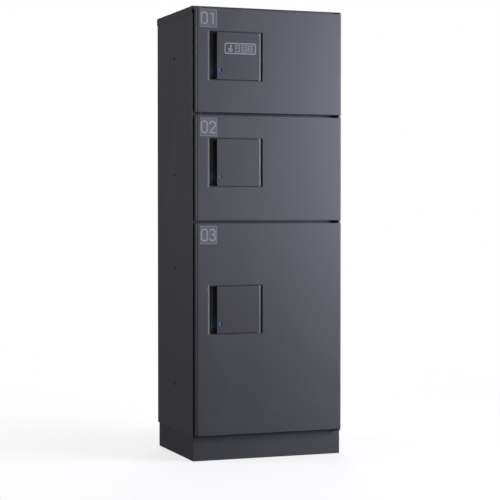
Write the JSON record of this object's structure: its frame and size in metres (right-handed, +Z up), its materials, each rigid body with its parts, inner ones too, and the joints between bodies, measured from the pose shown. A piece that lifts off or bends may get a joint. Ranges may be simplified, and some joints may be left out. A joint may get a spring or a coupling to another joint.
{
  "type": "parcel locker",
  "caption": "Tall steel parcel locker on a plinth with three stacked hinged doors, each with a recessed flap over a turn-knob lock, dial and vacancy window.",
  "frame": {"origin": "on the floor under the middle of the locker's bounding box", "axes": "+Z up, -Y out of the doors, +X to the right as seen facing the doors"},
  "size_m": [0.45, 0.359, 1.27],
  "materials": {
    "cabinet_coat": "satin charcoal powder coat on sheet steel",
    "door_coat": "satin charcoal powder coat, slightly metallic",
    "flap_coat": "satin charcoal powder coat",
    "plinth_coat": "satin charcoal powder coat",
    "tray_plastic": "moulded charcoal plastic",
    "number_plate": "printed grey plate",
    "black_steel": "black painted steel",
    "zinc": "zinc-plated steel",
    "nylon": "black nylon",
    "rubber": "black rubber",
    "black_plastic": "black moulded plastic",
    "ring_plastic": "blue and red vacancy ring",
    "button_plastic": "red button"
  },
  "bodies": {
    "cabinet": {"plinth": "plinth_coat", "plinth_bolts": "zinc", "side_panel_left": "cabinet_coat", "side_panel_right": "cabinet_coat", "back_panel": "cabinet_coat", "top_cap": "cabinet_coat", "header_rail": "cabinet_coat", "floor_pan": "cabinet_coat", "partition_upper": "cabinet_coat", "partition_lower": "cabinet_coat", "shelf_brackets": "cabinet_coat", "side_rivets": "cabinet_coat", "strike_plates": "zinc", "hinge_brackets": "black_steel", "hinge_pins": "zinc", "hinge_washers": "nylon", "hinge_screws": "black_steel", "door_bumpers": "rubber"},
    "door_01": {"door_skin_01": "door_coat", "door_inner_01": "cabinet_coat", "number_plate_01": "number_plate", "recess_tray_01": "tray_plastic", "lock_case_01": "black_steel", "lock_screws_01": "zinc", "hinge_bushes_01": "nylon", "flap_pin_01": "zinc", "stamp_housing": "black_plastic"},
    "flap_01": {"flap_cover_01": "flap_coat"},
    "latch_01": {"turn_knob_01": "black_plastic", "vacancy_ring_01": "ring_plastic"},
    "bolt_01": {"lock_bolt_01": "zinc"},
    "dial_01": {"code_dial_01": "black_plastic"},
    "door_02": {"door_skin_02": "door_coat", "door_inner_02": "cabinet_coat", "number_plate_02": "number_plate", "recess_tray_02": "tray_plastic", "lock_case_02": "black_steel", "lock_screws_02": "zinc", "hinge_bushes_02": "nylon", "flap_pin_02": "zinc"},
    "flap_02": {"flap_cover_02": "flap_coat"},
    "latch_02": {"turn_knob_02": "black_plastic", "vacancy_ring_02": "ring_plastic"},
    "bolt_02": {"lock_bolt_02": "zinc"},
    "dial_02": {"code_dial_02": "black_plastic"},
    "door_03": {"door_skin_03": "door_coat", "door_inner_03": "cabinet_coat", "number_plate_03": "number_plate", "recess_tray_03": "tray_plastic", "lock_case_03": "black_steel", "lock_screws_03": "zinc", "hinge_bushes_03": "nylon", "flap_pin_03": "zinc"},
    "flap_03": {"flap_cover_03": "flap_coat"},
    "latch_03": {"turn_knob_03": "black_plastic", "vacancy_ring_03": "ring_plastic"},
    "bolt_03": {"lock_bolt_03": "zinc"},
    "dial_03": {"code_dial_03": "black_plastic"},
    "stamp": {"stamp_button": "button_plastic"}
  },
  "joints": [
    {"name": "door_01_swing", "type": "hinge", "parent": "cabinet", "child": "door_01", "pos_m": [0.2097, -0.1687, 1.0625], "axis": [0, 0, 1], "range_deg": [0, 110]},
    {"name": "flap_01_swing", "type": "hinge", "parent": "door_01", "child": "flap_01", "pos_m": [-0.0347, -0.1727, 1.1315], "axis": [0, 0, 1], "range_deg": [0, 95]},
    {"name": "latch_01_turn", "type": "hinge", "parent": "door_01", "child": "latch_01", "pos_m": [-0.1273, -0.1667, 1.0925], "axis": [0, 1, 0], "range_deg": [0, 90]},
    {"name": "bolt_01_throw", "type": "slide", "parent": "door_01", "child": "bolt_01", "axis": [-1, 0, 0], "range_m": [0, 0.014]},
    {"name": "dial_01_spin", "type": "hinge", "parent": "door_01", "child": "dial_01", "pos_m": [-0.0713, -0.1667, 1.1075], "axis": [0, 1, 0], "continuous": true},
    {"name": "door_02_swing", "type": "hinge", "parent": "cabinet", "child": "door_02", "pos_m": [0.2097, -0.1687, 0.7664], "axis": [0, 0, 1], "range_deg": [0, 110]},
    {"name": "flap_02_swing", "type": "hinge", "parent": "door_02", "child": "flap_02", "pos_m": [-0.0347, -0.1727, 0.8354], "axis": [0, 0, 1], "range_deg": [0, 95]},
    {"name": "latch_02_turn", "type": "hinge", "parent": "door_02", "child": "latch_02", "pos_m": [-0.1273, -0.1667, 0.7964], "axis": [0, 1, 0], "range_deg": [0, 90]},
    {"name": "bolt_02_throw", "type": "slide", "parent": "door_02", "child": "bolt_02", "axis": [-1, 0, 0], "range_m": [0, 0.014]},
    {"name": "dial_02_spin", "type": "hinge", "parent": "door_02", "child": "dial_02", "pos_m": [-0.0713, -0.1667, 0.8114], "axis": [0, 1, 0], "continuous": true},
    {"name": "door_03_swing", "type": "hinge", "parent": "cabinet", "child": "door_03", "pos_m": [0.2097, -0.1687, 0.3554], "axis": [0, 0, 1], "range_deg": [0, 110]},
    {"name": "flap_03_swing", "type": "hinge", "parent": "door_03", "child": "flap_03", "pos_m": [-0.0347, -0.1727, 0.4244], "axis": [0, 0, 1], "range_deg": [0, 95]},
    {"name": "latch_03_turn", "type": "hinge", "parent": "door_03", "child": "latch_03", "pos_m": [-0.1273, -0.1667, 0.3854], "axis": [0, 1, 0], "range_deg": [0, 90]},
    {"name": "bolt_03_throw", "type": "slide", "parent": "door_03", "child": "bolt_03", "axis": [-1, 0, 0], "range_m": [0, 0.014]},
    {"name": "dial_03_spin", "type": "hinge", "parent": "door_03", "child": "dial_03", "pos_m": [-0.0713, -0.1667, 0.4004], "axis": [0, 1, 0], "continuous": true},
    {"name": "stamp_press", "type": "slide", "parent": "door_01", "child": "stamp", "axis": [0, 1, 0], "range_m": [0, 0.004], "stiffness_N_per_m": 400, "springref_m": -0.002}
  ],
  "couplings": [
    {"joint": "bolt_01_throw", "follows": "latch_01_turn", "m_per_rad": 0.0089126},
    {"joint": "bolt_02_throw", "follows": "latch_02_turn", "m_per_rad": 0.0089126},
    {"joint": "bolt_03_throw", "follows": "latch_03_turn", "m_per_rad": 0.0089126}
  ]
}
